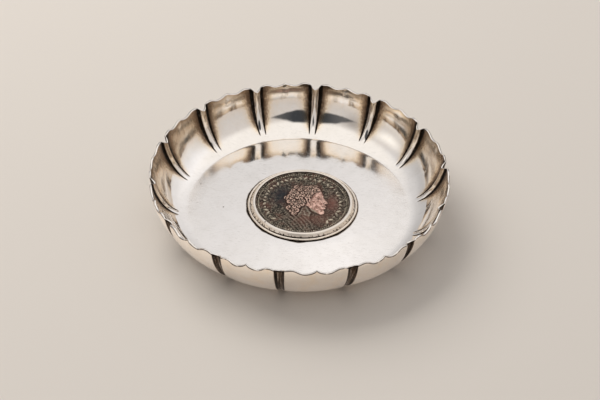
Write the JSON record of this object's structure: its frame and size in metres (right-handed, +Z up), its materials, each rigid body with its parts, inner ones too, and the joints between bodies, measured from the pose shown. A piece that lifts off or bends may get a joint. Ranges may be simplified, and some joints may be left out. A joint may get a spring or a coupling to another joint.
{
  "type": "coin dish",
  "caption": "Round silver dish with fluted upright walls, a bracket-shaped rim and a coin held in a wired collar in the middle of its floor.",
  "frame": {"origin": "on the surface the dish stands on, under the middle of the dish", "axes": "+Z up; a flute lies on +Y and on -Y, a panel's middle on +X and on -X; the coin stands a little towards +X and +Y"},
  "size_m": [0.12, 0.1192, 0.0206],
  "materials": {
    "dish_silver": "polished silver with fine wear scratches, warm tarnish in the creases",
    "collar_silver": "hand-rubbed silver, dark in the groove above the wire",
    "wire_silver": "polished silver wire, dark along its foot",
    "coin_bronze": "old copper coin, brown-black in the field and copper-red on the raised parts"
  },
  "bodies": {
    "root": {"dish_body": "dish_silver", "coin_collar": "collar_silver", "collar_wire": "wire_silver", "coin": "coin_bronze"}
  },
  "joints": []
}
